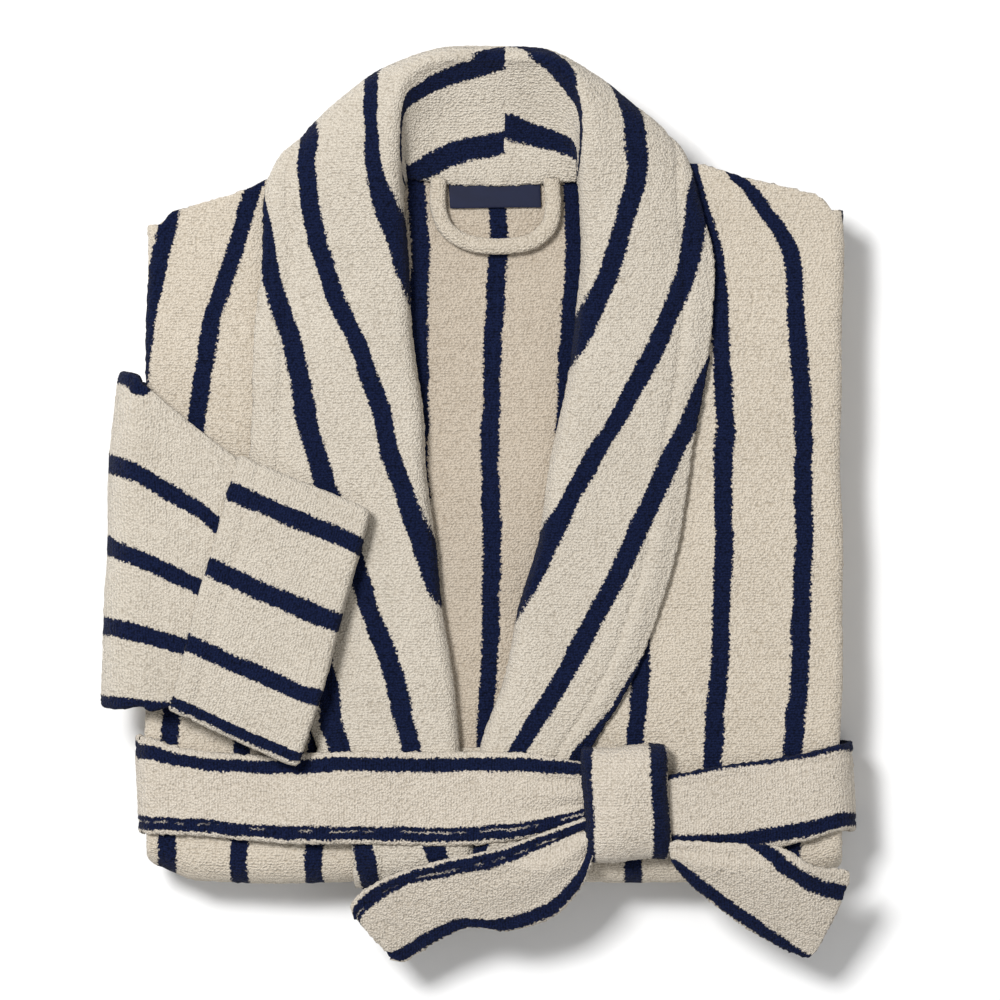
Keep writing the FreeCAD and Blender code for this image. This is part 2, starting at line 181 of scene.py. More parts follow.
def shell(grid, grain, thick=CLOTH, pile=0.4, groove=None, closed=False):
    """Points, faces and grain of cloth round a grid, closed, with rounded edges and a rough pile."""
    rows, columns = grid.shape[:2]
    grid = settle(grid)
    n = normals_of(grid, closed)
    thick = np.broadcast_to(np.asarray(thick, float), (rows, columns))[..., None]
    top_cut = np.zeros((rows, columns, 1)) if groove is None else groove[..., None]
    top = grid + n * (thick / 2 - top_cut + pile * rng.normal(0, 0.5, (rows, columns, 1)))
    low = grid - n * (thick / 2 + pile * rng.normal(0, 0.5, (rows, columns, 1)))
    number = np.arange(rows * columns).reshape(rows, columns)
    points = [top.reshape(-1, 3), low.reshape(-1, 3)]
    grains = [grain.reshape(-1, 2), grain.reshape(-1, 2)]
    faces = [quads(number), quads(number)[:, ::-1] + rows * columns]
    if closed:
        rims = [[(i, 0) for i in range(rows)], [(i, columns - 1) for i in range(rows - 1, -1, -1)]]
    else:
        rim = [(i, 0) for i in range(rows)] + [(rows - 1, j) for j in range(1, columns)]
        rim += [(i, columns - 1) for i in range(rows - 2, -1, -1)]
        rim += [(0, j) for j in range(columns - 2, 0, -1)]
        rims = [rim]
    total = 2 * rows * columns
    for loop in rims:
        i, j = np.array(loop).T
        inner_i, inner_j = np.clip(i, 1, rows - 2), np.clip(j, 1, columns - 2)
        if closed:
            inner_i = i
        step = grid[i, j] - grid[inner_i, inner_j]
        out = unit(step)
        growth = (grain[i, j] - grain[inner_i, inner_j]) / np.linalg.norm(step, axis=1, keepdims=True)
        half = thick[i, j] / 2
        strip = [number[i, j]]
        for angle in (45, 90, 135):
            a = math.radians(angle)
            edge = grid[i, j] + half * (math.cos(a) * n[i, j] + math.sin(a) * out)
            edge = edge + pile * rng.normal(0, 0.9, edge.shape)
            points.append(edge)
            grains.append(grain[i, j] + growth * half * math.radians(min(angle, 180 - angle)))
            strip.append(np.arange(total, total + len(edge)))
            total += len(edge)
        strip.append(number[i, j] + rows * columns)
        strip = np.array(strip)
        if not closed:
            strip = np.concatenate([strip, strip[:, :1]], axis=1)
        faces.append(quads(strip))
    if closed:
        seam = np.stack([number[-1], number[0]])
        faces.append(quads(seam))
        faces.append(quads(seam)[:, ::-1] + rows * columns)
    return np.concatenate(points), np.concatenate(faces), np.concatenate(grains)


def cloth_piece(node, shells, material, body="folded_robe", stands_for=()):
    """The cloth of a node, from one or more shells, with the grain as its UV map in metres."""
    name = f"{node}_cloth"
    points, faces, grains, total = [], [], [], 0
    for p, f, g in shells:
        points.append(p)
        faces.append(f + total)
        grains.append(g)
        total += len(p)
    points, faces, grains = np.concatenate(points), np.concatenate(faces), np.concatenate(grains)
    mesh = bpy.data.meshes.new(name)
    mesh.from_pydata((points * MM).tolist(), [], faces.tolist())
    layer = mesh.uv_layers.new(name="grain")
    corners = np.empty(len(mesh.loops), int)
    mesh.loops.foreach_get("vertex_index", corners)
    layer.data.foreach_set("uv", (grains[corners] * MM).astype(np.float32).ravel())
    mesh.polygons.foreach_set("use_smooth", np.ones(len(mesh.polygons), bool))
    mesh.materials.append(material)
    mesh.validate()
    piece = bpy.data.objects.new(name, mesh)
    bpy.context.scene.collection.objects.link(piece)
    bpy.ops.object.select_all(action="DESELECT")
    piece.select_set(True)
    bpy.context.view_layer.objects.active = piece
    bpy.ops.object.mode_set(mode="EDIT")
    bpy.ops.mesh.select_all(action="SELECT")
    bpy.ops.mesh.normals_make_consistent(inside=False)
    bpy.ops.object.mode_set(mode="OBJECT")
    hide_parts(*(stands_for or [node]))
    if body:
        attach(piece, body)
    return piece


# ---- materials ---------------------------------------------------------------
class Shade:
    """A short way to add and join shader nodes."""

    def __init__(self, name):
        self.material = bpy.data.materials.new(name)
        self.material.use_nodes = True
        self.tree = self.material.node_tree
        self.skin = self.tree.nodes["Principled BSDF"]

    def put(self, socket, value):
        if isinstance(value, bpy.types.NodeSocket):
            self.tree.links.new(value, socket)
        else:
            socket.default_value = value

    def math(self, kind, a, b=0.0, c=0.0):
        node = self.tree.nodes.new("ShaderNodeMath")
        node.operation = kind
        for socket, value in zip(node.inputs, (a, b, c)):
            self.put(socket, value)
        return node.outputs[0]

    def noise(self, where, scale, detail=2.0, rough=0.5):
        node = self.tree.nodes.new("ShaderNodeTexNoise")
        self.put(node.inputs["Vector"], where)
        node.inputs["Scale"].default_value = scale
        node.inputs["Detail"].default_value = detail
        node.inputs["Roughness"].default_value = rough
        return node.outputs["Fac"]

    def cells(self, where, scale):
        node = self.tree.nodes.new("ShaderNodeTexVoronoi")
        self.put(node.inputs["Vector"], where)
        node.inputs["Scale"].default_value = scale
        return node.outputs["Distance"]

    def remap(self, value, low, high, to_low=0.0, to_high=1.0):
        node = self.tree.nodes.new("ShaderNodeMapRange")
        for socket, number in zip(node.inputs, (value, low, high, to_low, to_high)):
            self.put(socket, number)
        return node.outputs[0]

    def mix(self, share, a, b):
        node = self.tree.nodes.new("ShaderNodeMix")
        node.data_type = "RGBA"
        self.put(node.inputs[0], share)
        self.put(node.inputs[6], a)
        self.put(node.inputs[7], b)
        return node.outputs[2]

    def bump(self, height, distance, strength):
        node = self.tree.nodes.new("ShaderNodeBump")
        self.put(node.inputs["Height"], height)
        node.inputs["Distance"].default_value = distance
        node.inputs["Strength"].default_value = strength
        return node.outputs[0]


def srgb(r, g, b):
    """A display colour from 0 to 255 as linear light."""
    def linear(c):
        c /= 255
        return c / 12.92 if c <= 0.04045 else ((c + 0.055) / 1.055) ** 2.4
    return (linear(r), linear(g), linear(b), 1.0)


NAVY_DARK, NAVY_LIGHT = srgb(3, 7, 24), srgb(26, 37, 74)
WEAVE_ROW = 0.0017                             # metres from one row of loops to the next


def terry(name, dark, light, stripe=STRIPE, hairline=False):
    """Looped cotton terry: a granular pile, uneven warp stripes and a soft sheen, with painted shade in the
    hollows between the loops.
    """
    s = Shade(name)
    place = s.tree.nodes.new("ShaderNodeTexCoord")
    grain = s.tree.nodes.new("ShaderNodeSeparateXYZ")
    s.put(grain.inputs[0], place.outputs["UV"])
    at = place.outputs["Object"]
    loops = s.cells(at, 720)
    fibres = s.noise(at, 1500, 2.0, 0.7)
    tufts = s.noise(at, 330, 1.0, 0.5)
    mottle = s.noise(at, 26, 3.0, 0.6)
    down_rows = s.math("MULTIPLY", grain.outputs[1], math.tau / WEAVE_ROW)
    shift = s.math("MULTIPLY_ADD", tufts, 5.0, down_rows)
    rows = s.math("MULTIPLY", s.math("SINE", shift), 0.12)
    fine = s.math("ADD", rows, s.math("MULTIPLY", fibres, 0.8))
    height = s.math("MULTIPLY_ADD", loops, -1.2, s.math("MULTIPLY_ADD", tufts, 0.4, fine))
    raised = s.math("MULTIPLY_ADD", loops, -0.9, s.math("MULTIPLY_ADD", tufts, 0.3, fine))
    # shade is painted shade: the colour goes towards the dark colour where the pile is low, in the hollows
    # between loops and rows
    shade = s.remap(raised, -0.4, 0.45)
    cream = s.mix(s.math("MULTIPLY_ADD", mottle, 0.3, s.math("MULTIPLY", shade, 0.85)), dark, light)
    colour = cream
    if stripe:
        wander = s.math("MULTIPLY_ADD", s.noise(at, 620, 1.0), 0.0046, -0.0023)
        slow = s.math("MULTIPLY_ADD", s.noise(at, 45, 1.0), 0.0036, -0.0018)
        across = s.math("ADD", grain.outputs[0], s.math("ADD", wander, slow))
        all_positive = s.math("ADD", across, PITCH * MM * 40)
        off = s.math("ABSOLUTE", s.math("PINGPONG", all_positive, PITCH * MM / 2))
        edge = stripe * MM / 2
        mask = s.remap(off, edge - 0.0004, edge + 0.0005, 1.0, 0.0)
        if hairline:
            near = s.math("ABSOLUTE", s.math("SUBTRACT", across, (PITCH - 1.2) * MM))
            thread = s.remap(near, 0.0002, 0.0008, 0.75, 0.0)
            patchy = s.remap(s.noise(at, 70, 2.0), 0.46, 0.56)
            mask = s.math("MULTIPLY", mask, s.math("SUBTRACT", 1.0, s.math("MULTIPLY", thread, patchy)))
        # the navy gets the same painted shade in the hollows between its loops
        navy = s.mix(s.math("MULTIPLY", shade, 0.8), NAVY_DARK, NAVY_LIGHT)
        colour = s.mix(mask, cream, navy)
        s.put(s.skin.inputs["Sheen Weight"], s.remap(mask, 0.0, 1.0, 0.2, 0.03))
    else:
        s.skin.inputs["Sheen Weight"].default_value = 0.2
    s.put(s.skin.inputs["Base Color"], colour)
    s.skin.inputs["Roughness"].default_value = 0.95
    s.skin.inputs["Specular IOR Level"].default_value = 0.1
    s.skin.inputs["Sheen Roughness"].default_value = 0.45
    s.put(s.skin.inputs["Normal"], s.bump(height, 0.0018, 0.7))
    return s.material


def woven(name, dark, light, threads=1400.0):
    """A close plain weave, for labels."""
    s = Shade(name)
    place = s.tree.nodes.new("ShaderNodeTexCoord")
    axes = s.tree.nodes.new("ShaderNodeSeparateXYZ")
    s.put(axes.inputs[0], place.outputs["Object"])
    warp = s.math("SINE", s.math("MULTIPLY", axes.outputs[0], threads * math.tau))
    weft = s.math("SINE", s.math("MULTIPLY", axes.outputs[1], threads * math.tau))
    weave = s.math("MULTIPLY_ADD", s.math("MULTIPLY", warp, weft), 0.5, 0.5)
    worn = s.noise(place.outputs["Object"], 90, 3.0)
    s.put(s.skin.inputs["Base Color"], s.mix(s.math("MULTIPLY", weave, worn), dark, light))
    s.skin.inputs["Roughness"].default_value = 0.6
    s.skin.inputs["Specular IOR Level"].default_value = 0.25
    s.put(s.skin.inputs["Normal"], s.bump(weave, 0.0002, 0.4))
    return s.material


# ---- the robe's cloths --------------------------------------------------------
# each terry's first colour is the shade painted into the hollows between its loops
BODY_TERRY = terry("front_terry_stripe", srgb(173, 160, 140), srgb(229, 218, 201))
# The back's terry is darker than the front's: painted shade for the neck opening, where the back lies low
# inside the collar.
BACK_SHADED_TERRY = terry("back_terry_stripe_painted_shade", srgb(162, 148, 129), srgb(216, 203, 185))
TRIM_TERRY = terry("collar_terry_stripe", srgb(171, 160, 143), srgb(227, 218, 203), stripe=13.0)
SLEEVE_TERRY = terry("sleeve_terry_stripe", srgb(170, 159, 142), srgb(225, 216, 201))
BELT_TERRY = terry("belt_terry_stripe", srgb(173, 161, 143), srgb(229, 219, 204), stripe=9.8, hairline=True)
LOOP_TERRY = terry("loop_plain_terry", srgb(162, 150, 131), srgb(224, 213, 196), stripe=0)
LABEL_CLOTH = woven("label_satin", srgb(8, 14, 38), srgb(26, 36, 72))
CARE_CLOTH = woven("care_label_satin", srgb(205, 203, 196), srgb(240, 239, 235))


# ---- body panels -------------------------------------------------------------
GAP_Z = (SLEEVE_LOW + SLEEVE_HIGH) / 2         # middle of the bottom fold
LOW_Y = FOLD_Y + (FRONT_Z - GAP_Z)
TURN_Y = 155.0                                 # where the upper fold begins
# heights of the middle of each layer in the top, the middle and the bottom section
FRONT_LAYER = dict(z1=FRONT_Z - 0.5 * CLOTH, z2=21.25, z3=14.25)
INNER_LAYER = dict(z1=FRONT_Z - 1.5 * CLOTH, z2=24.75, z3=10.75)
BACK_LAYER = dict(z1=FRONT_Z - 2.5 * CLOTH, z2=28.25, z3=1.75)
FINE, MIDDLE, COARSE = 2.2, 3.4, 7.0           # grid steps: seen, half seen and hidden


def steps(low, high, size):
    return np.linspace(low, high, max(2, int(abs(high - low) / size) + 1))


SECTION_ROWS = len(steps(0, 1, FINE / 430))


def folded_path(z1, z2, z3):
    """(y, z, run) down a layer: section 1, bottom fold, section 2, upper fold and section 3."""
    line = []
    line += [(None, z1, t) for t in np.linspace(0, 1, SECTION_ROWS)]
    radius = z1 - GAP_Z
    for a in np.radians(steps(90, 270, 12))[1:]:
        line.append((LOW_Y + radius * math.cos(a), GAP_Z + radius * math.sin(a), None))
    for y in steps(LOW_Y, TURN_Y, COARSE)[1:]:
        line.append((y, z2, None))
    radius, middle = (z2 - z3) / 2, (z2 + z3) / 2
    for a in np.radians(steps(90, -90, 22))[1:]:
        line.append((TURN_Y + radius * math.cos(a), middle + radius * math.sin(a), None))
    for y in steps(TURN_Y, HEM_Y, MIDDLE + 0.6)[1:]:
        line.append((y, z3, None))
    return line


def layer_points(top_y, layer):
    """y and z of one layer under a given shoulder height, for every step of the folded path."""
    rows = []
    for y, z, share in folded_path(**layer):
        rows.append((top_y + (LOW_Y - top_y) * share, z) if y is None else (y, z))
    rows = np.array(rows)
    rows[:, 1] += channel_lift(rows[:, 0], rows[:, 1], layer)
    return rows


def channel_lift(y, z, layer):
    """The underside is pressed in where the belt passes under it."""
    if layer is not BACK_LAYER:
        return np.zeros_like(y)
    under = z < 8
    return np.where(under, 5.5 * smooth(-y, -BELT_HIGH[1] - 12, -BELT_HIGH[1] - 1), 0)


# the upper outline of the body, from its right side to its left
SHOULDER = [(-212, 197), (-204, 205.5), (-190, 209), (-160, 219), (-131, 232), (-90, 238), (90, 238),
            (123, 235), (150, 227), (180, 220), (195, 216), (201, 212.5), (205, 205), (207, 194)]


def shoulder_y(x):
    line = np.array(SHOULDER)
    return np.interp(x, line[:, 0], line[:, 1])


def tube_half(side, side_x, inner_x, stripes, first):
    """A front from its inner edge, round the side fold and back to the side seam."""
    turn_out = (FRONT_LAYER["z1"] - BACK_LAYER["z1"]) / 2 + 1.7
    columns, grains = [], []
    count = len(folded_path(**FRONT_LAYER))
    section = np.arange(count) < SECTION_ROWS
    reach = side_x - turn_out
    for t in steps(0, 1, 1 / 60):
        rough = layer_points(shoulder_y(side * reach * t), FRONT_LAYER)
        start = np.where(section, at_row(inner_x, rough[:, 0]), inner_x[-1][0])
        x = start + (side * reach - start) * t
        front = layer_points(shoulder_y(x[0]), FRONT_LAYER)
        columns.append(np.stack([x, front[:, 0], front[:, 1]], axis=1))
        grains.append(grain_from_stripes(x, np.where(section, front[:, 0], LOW_Y), stripes, first))
    top = shoulder_y(side * reach)
    front, rear = layer_points(top, FRONT_LAYER), layer_points(top, BACK_LAYER)
    far = grains[-1]
    for a in np.radians(np.linspace(0, 180, 9))[1:-1]:
        w = (1 - math.cos(a)) / 2
        x = np.full(count, side * (reach + turn_out * math.sin(a)))
        middle = (1 - w) * front + w * rear
        columns.append(np.stack([x, middle[:, 0], middle[:, 1]], axis=1))
        grains.append(far + side * turn_out * a)
    for t in steps(0, 1, 1 / 12):
        x = side * (reach + (SEAM_X - reach) * t)
        rear = layer_points(shoulder_y(x), BACK_LAYER)
        columns.append(np.stack([np.full(count, x), rear[:, 0], rear[:, 1]], axis=1))
        grains.append(far + side * (turn_out * math.pi + (reach - SEAM_X) * t))
    grid = np.stack(columns, axis=1)
    return grid, pair(np.stack(grains, axis=1), grid[..., 1])


SIDE_RIGHT, SIDE_LEFT = HALF - 1.75, HALF - 10.5      # the left side is folded in a little further
RIGHT_FRONT_STRIPES = [
    [(-200, 240), (-207.7, 195), (-215, 170), (-218, 146), (-226, 71), (-244, -34), (-252, -190)],
    [(-146, 240), (-154, 220), (-162, 195), (-171, 170), (-178.6, 146), (-187, 96), (-192, 50),
     (-204, -102), (-207, -190)],
    [(-100, 240), (-120, 170), (-132, 100), (-158, -102), (-162.7, -190)],
    [(-60, 240), (-75, 170), (-85, 100), (-112, -102), (-116, -190)],
    [(-20, 240), (-66, -102), (-70, -190)],
]
LEFT_FRONT_STRIPES = [
    [(36, 240), (38, -190)],
    [(88, 240), (86, -77), (84, -127), (82, -190)],
    [(118, 240), (129.6, 183), (134.5, 158), (137, 121), (140, 71), (138, 15), (136, -40), (133, -102),
     (132, -190)],
    [(140, 240), (147, 227), (155.6, 220), (163.7, 208), (172, 195), (178, 183), (180.4, 170),
     (183.5, 133), (189, 59), (188, 28), (186, -34), (183.5, -96), (181, -190)],
    [(210, 240), (221, 183), (230, 133), (236, 28), (231, -190)],
]
V_RIGHT = [(-78, 240), (-44, -128), (-58, -150), (-58, -300)]
V_LEFT = [(68, 240), (12, -128), (-56, -150), (-56, -300)]


INNER_BAND = (-60.0, 50.0)                     # the right front's part that lies behind the left front


def front_panel_right():
    """The front that lies inside at the overlap."""
    grid, grain = tube_half(-1, SIDE_RIGHT, V_RIGHT, RIGHT_FRONT_STRIPES, -4)
    xs = steps(*INNER_BAND, COARSE)
    columns = [layer_points(-128.0, INNER_LAYER) for x in xs]
    band = np.stack([np.column_stack([np.full(len(c), x), c]) for x, c in zip(xs, columns)], axis=1)
    cloths = [shell(grid, grain), shell(band, band[..., :2], pile=0.2)]
    piece = cloth_piece("front_panel_right", cloths, BODY_TERRY)


def front_panel_left():
    """The front that lies outside at the overlap."""
    cloth = shell(*tube_half(1, SIDE_LEFT, V_LEFT, LEFT_FRONT_STRIPES, 1))
    piece = cloth_piece("front_panel_left", [cloth], BODY_TERRY)


BACK_STRIPES = [
    [(-100, 240), (-98, -190)],
    [(-53, 240), (-52, 200), (-49.6, 71), (-49, -190)],
    [(-2, 240), (-2.5, 201), (-4, 150), (-5.6, 90), (-6.8, -34), (-9.3, -115), (-10, -190)],
    [(45, 240), (44, 158), (41, 96), (39, -190)],
    [(94, 240), (92, -190)],
]


def back_panel():
    """The middle is fine where the neck opening shows it."""
    xs = np.concatenate([steps(-SEAM_X, -66, 4)[:-1], steps(-66, 58, FINE), steps(58, SEAM_X, 4)[1:]])
    columns = []
    for x in xs:
        top = min(shoulder_y(x), 233.0)
        c = layer_points(top, BACK_LAYER)
        columns.append(np.column_stack([np.full(len(c), x), c]))
    grid = np.stack(columns, axis=1)
    y_read = np.where(np.arange(len(grid))[:, None] < SECTION_ROWS, grid[..., 1], LOW_Y)
    across = grain_from_stripes(grid[..., 0], y_read, BACK_STRIPES, -2)
    grain = pair(across, grid[..., 1])
    # the darker back terry paints the shade inside the neck opening
    piece = cloth_piece("back_panel", [shell(grid, grain)], BACK_SHADED_TERRY)


# ---- shawl collar ------------------------------------------------------------
# Seven lines run the length of each collar half: the base and the middle of the stand, the inner and the
# outer side of the roll, the middle of the fall, its lower part and its edge. Each line is given at
# stations from the back seam to the side of the neck. Below that the lapel's two edges give the rest.
MID_X = 2.5
NECK_RIGHT = [
    [(0, 224, 49), (0, 262, 57), (0, 295, 73), (0, 301.5, 78), (0, 304, 66), (0, 299, 49),
     (0, 262, 42)],
    [(-24, 225, 49), (-28, 262, 57), (-32, 295, 73), (-33, 301, 78), (-35, 303.5, 66), (-36, 298, 49),
     (-36, 262, 42)],
    [(-42, 227, 49), (-49, 258, 59), (-54, 285, 75), (-57, 291, 79), (-65, 293, 68), (-67, 289, 52),
     (-68, 258, 43)],
    [(-54, 229, 50), (-59.5, 250, 62), (-63, 269, 76), (-67, 275, 80), (-84, 280, 71), (-95, 272, 55),
     (-97, 250, 45)],
    [(-60, 230, 50), (-63, 236, 62), (-64, 243, 73), (-70, 247, 78), (-100, 259, 71), (-118, 254, 58),
     (-126, 240, 48)],
    [(-66, 205, 51), (-63.5, 203, 57), (-63.5, 204, 65), (-70, 207, 71), (-105, 220, 69),
     (-133, 229, 62), (-142, 222, 57.5)],
]
NECK_RIGHT_GRAIN = [
    [-119, -85, -55, -48, -35, -17, 21],
    [-112, -79, -43, -35, -22, -4, 34],
    [-104, -75, -41, -30, -14, 4, 38],
    [-98, -74, -48, -22, 8, 24, 50],
    [-92, -76, -51, -14, 29, 50, 66],
]
NECK_LEFT = [
    [(0, 224, 49), (0, 262, 57), (0, 295, 73), (0, 301.5, 78), (0, 304, 66), (0, 299, 49),
     (0, 262, 42)],
    [(18, 225, 49), (22, 261, 57), (25, 293, 73), (27, 300, 78), (30, 302, 66), (31, 297, 49),
     (31, 262, 42)],
    [(34, 227, 49), (39, 257, 59), (43, 282, 75), (46, 289, 79), (54, 290, 68), (57, 286, 52),
     (58, 256, 43)],
    [(45, 228, 50), (48.5, 248, 62), (51, 267, 76), (55, 272, 80), (71, 275, 71), (83, 268, 55),
     (87, 248, 45)],
    [(50, 229, 50), (52, 235, 62), (52.5, 243, 73), (58, 246, 78), (86, 256, 71), (104, 250, 58),
     (112, 238, 48)],
    [(56, 205, 51), (53, 204, 57), (53, 206, 65), (59, 208, 71), (90, 216, 69), (114, 220, 62),
     (121, 212, 57.5)],
]
NECK_LEFT_GRAIN = [
    [-128, -94, -69, -61, -51, -31, 10],
    [-121, -90, -59, -49, -35, -14, 26],
    [-118, -89, -51, -40, -20, 0, 34],
    [-116, -93, -52, -30, -4, 14, 40],
    [-112, -92, -54, -26, 4, 24, 44],
]
V_EDGE_RIGHT = [(-61, 232), (-60.8, 170), (-57.7, 127), (-49.6, 75), (-47.7, 43), (-44.6, 9),
                (-39.7, -38), (-36, -64), (-30.4, -99), (-27.3, -125), (-18, -192)]
EDGE_RIGHT = [(-131, 232), (-141, 202), (-148, 177), (-153.8, 139), (-154.4, 75), (-153.8, 20),
              (-146, -28), (-131, -84), (-114, -125), (-92, -192)]
V_EDGE_LEFT = [(52.7, 232), (50.8, 170), (49, 152), (47.7, 127), (42, 90), (34.7, 55), (27.9, 10),
               (18, -24), (9.3, -53), (2.5, -92), (-4.3, -113), (-9.9, -127), (-16, -192)]
EDGE_LEFT = [(115, 224), (123.4, 202), (129, 185), (132, 159), (132, 141), (129, 115), (124, 86),
             (118.4, 43), (111.6, 6), (102.9, -26), (94, -56), (78, -90), (62.6, -117), (40, -160),
             (28, -192)]
LAPEL_ROWS = [165, 118, 75, 40, 0, -40, -85, -122, -155, LOW_Y]
LAPEL_STRIPES_RIGHT = [
    [(-185, 130), (-170, 77), (-152, 20), (-118, -40), (-109, -78), (-105, -108), (-98.6, -125),
     (-84, -192)],
    [(-147, 202), (-141.4, 163), (-130, 131), (-119, 77), (-112, 53), (-90, -12), (-82, -40),
     (-69, -77), (-55, -125), (-40, -192)],
    [(-101, 270), (-112, 263), (-119, 237), (-117, 210), (-114, 187), (-103, 152), (-90.5, 127),
     (-74.4, 84), (-70, 65), (-58.3, 30), (-43.5, -20), (-36, -36), (-22, -60), (10, -192)],
    [(-75, 288), (-80.6, 270), (-80.6, 245), (-75, 226), (-70, 205), (-60.8, 170), (-48, 127), (0, -38),
     (30, -192)],
]
LAPEL_STRIPES_LEFT = [
    [(84, 270), (88.7, 257), (88, 245), (83, 220), (70, 183), (57, 146), (40, 110), (-60, -192)],
    [(122, 232), (119.7, 208), (113.5, 170), (104.8, 146), (94, 121), (67, 71), (39, 22), (21.7, -15),
     (-20, -100), (-40, -192)],
    [(140, 130), (123.4, 96), (113.5, 71), (90.5, 22), (66.3, -28), (39.7, -77), (11.8, -127),
     (-15, -192)],
    [(170, 60), (130, -10), (86, -77), (71.3, -102), (50.8, -127), (18, -192)],
]
SEAM_INSET = 17.0                              # from the collar's edge to its stitched line


def lapel_station(side, y, v_edge, edge):
    """Seven points across a lapel at one height, from the cloth turned under its roll to its edge."""
    v, e = float(at_row(v_edge, y)), float(at_row(edge, y))
    soft = 3.0 * float(smooth(np.array(y), 60.0, 190.0))
    slant = 9.0 * float(smooth(np.array(y), 90.0, 200.0)) + 2
    low = 2.2 * float(smooth(np.array(-y), -40.0, 110.0))
    levels = (51.0, 53.0, 58.0 + soft, 62.0 + soft - low, 61.6 + soft - low, 60.4 - low, 58.0 - low)
    inner = [v + side * step for step in (12, 1.5, 2.0, 8)]
    outer = [e - side * step for step in (16, 2.5)]
    places = inner + [(v + e) / 2] + outer
    lifts = (0, 0, 0, 0, slant / 2, slant, slant)
    return [(x, y + up, z) for x, up, z in zip(places, lifts, levels)]


def collar_net(side):
    if side < 0:
        neck, neck_grain, v_edge, edge = NECK_RIGHT, NECK_RIGHT_GRAIN, V_EDGE_RIGHT, EDGE_RIGHT
        stripes, first, flip = LAPEL_STRIPES_RIGHT, -3, -1
    else:
        neck, neck_grain, v_edge, edge = NECK_LEFT, NECK_LEFT_GRAIN, V_EDGE_LEFT, EDGE_LEFT
        stripes, first, flip = LAPEL_STRIPES_LEFT, 0, 1
    net = [[(x + MID_X if k == 0 else x, y, z) for x, y, z in row] for k, row in enumerate(neck)]
    net += [lapel_station(side, y, v_edge, edge) for y in LAPEL_ROWS]
    for turn in (35, 70):
        a = math.radians(turn)
        drops = [(x, z - GAP_Z) for x, y, z in lapel_station(side, LOW_Y, v_edge, edge)]
        net.append([(x, LOW_Y - d * math.sin(a), GAP_Z + d * math.cos(a)) for x, d in drops])
    net = np.array(net)
    grain = flip * grain_from_stripes(net[..., 0], net[..., 1], stripes, first)
    grain[:len(neck_grain)] = neck_grain
    return net, grain, len(neck_grain), lambda x, y: flip * grain_from_stripes(x, y, stripes, first)


def collar_surface(side, fine=2.1):
    """The middle of the two-layer collar as a grid, and how far across the cloth each point is."""
    net, grain, neck_rows, lapel_grain = collar_net(side)
    down = spread(net[:, 4], int(640 / fine))
    across_places = spread(net[8], int(150 / fine))
    rows = through(net, down)
    grid = np.stack([through(row, across_places) for row in rows])
    grain_rows = through(grain, down)
    across = np.stack([through(row[:, None], across_places)[:, 0] for row in grain_rows])
    lapel = smooth(down, neck_rows - 1, neck_rows)[:, None]
    section = (grid[..., 1] > LOW_Y) & (down[:, None] < len(net) - 3)
    fine_grain = np.where(section, lapel_grain(grid[..., 0], grid[..., 1]), across)
    return grid, across * (1 - lapel) + fine_grain * lapel


def edge_distance(grid):
    """How far each point lies from the outer edge, along its row."""
    gaps = np.linalg.norm(np.diff(grid, axis=1), axis=2)
    run = np.concatenate([np.zeros((len(grid), 1)), np.cumsum(gaps, axis=1)], axis=1)
    return run[:, -1:] - run


def collar_half(side):
    """One half of the collar: the cloth that shows, and its facing below."""
    word = "right" if side < 0 else "left"
    grid, across = collar_surface(side)
    n = normals_of(grid)
    if n[len(n) // 2, n.shape[1] // 2, 2] < 0:
        grid, across = grid[:, ::-1], across[:, ::-1]
        n = normals_of(grid)
        distance = edge_distance(grid[:, ::-1])[:, ::-1]
    else:
        distance = edge_distance(grid)
    grain = pair(across, grid[..., 1])
    stitch = stitched(distance, SEAM_INSET, 2.1, 1.1)
    puff = 0.9 * smooth(distance, 0, 9) * (1 - smooth(distance, 10, SEAM_INSET))
    upper = shell(grid + n * 1.75, grain, thick=3.6 + 2 * puff, groove=stitch)
    lower = shell(grid - n * 1.9, grain, thick=3.3, pile=0.3)
    for node, cloth in ((f"collar_{word}", upper), (f"collar_facing_{word}", lower)):
        piece = cloth_piece(node, [cloth], TRIM_TERRY)


# ---- sleeves and cuffs -------------------------------------------------------
def ring_shell(rings, grain, **options):
    """A closed shell from rings of points, one ring for each step down a tube."""
    return shell(np.swapaxes(rings, 0, 1), np.swapaxes(grain, 0, 1), closed=True, **options)


def flat_ring(count, squareness=0.4):
    """Places round a flattened ring: -1 to 1 across, and -1 to 1 through its height."""
    turns = np.linspace(0, 2 * math.pi, count, endpoint=False)
    across = np.sign(np.cos(turns)) * np.abs(np.cos(turns)) ** 0.92
    high = np.sign(np.sin(turns)) * np.abs(np.sin(turns)) ** squareness
    return across, high


def flat_tube(rails, steps_down, round_count, height, squareness=0.4):
    """Rings of a flattened tube between an upper and a lower rail down its length."""
    rails = np.array(rails, float)
    places = spread(rails.mean(axis=1), steps_down)
    upper, lower = through(rails[:, 0], places), through(rails[:, 1], places)
    middle, half = (upper + lower) / 2, (upper - lower) / 2
    tangent = unit(np.gradient(middle, axis=0))
    up = unit(np.cross(half, tangent))
    across, high = flat_ring(round_count, squareness)
    return (middle[:, None] + half[:, None] * across[None, :, None]
            + up[:, None] * (height / 2) * high[None, :, None])


SLEEVE_STRIPES = [
    [(-110, -150), (-105, -175), (-98, -240), (-98, -260)],
    [(-72, -150), (-68, -175), (-56, -214), (-49.6, -240), (-49.6, -260)],
    [(-38, -150), (-31, -175), (-21, -193), (-9, -219), (0, -240), (1, -260)],
    [(-2, -150), (6, -167), (22, -185), (36, -208), (46, -225), (51, -240), (52, -260)],
    [(150, -150), (142, -198), (112, -211), (99, -218), (99, -225), (104, -231), (107, -238), (107, -260)],
]


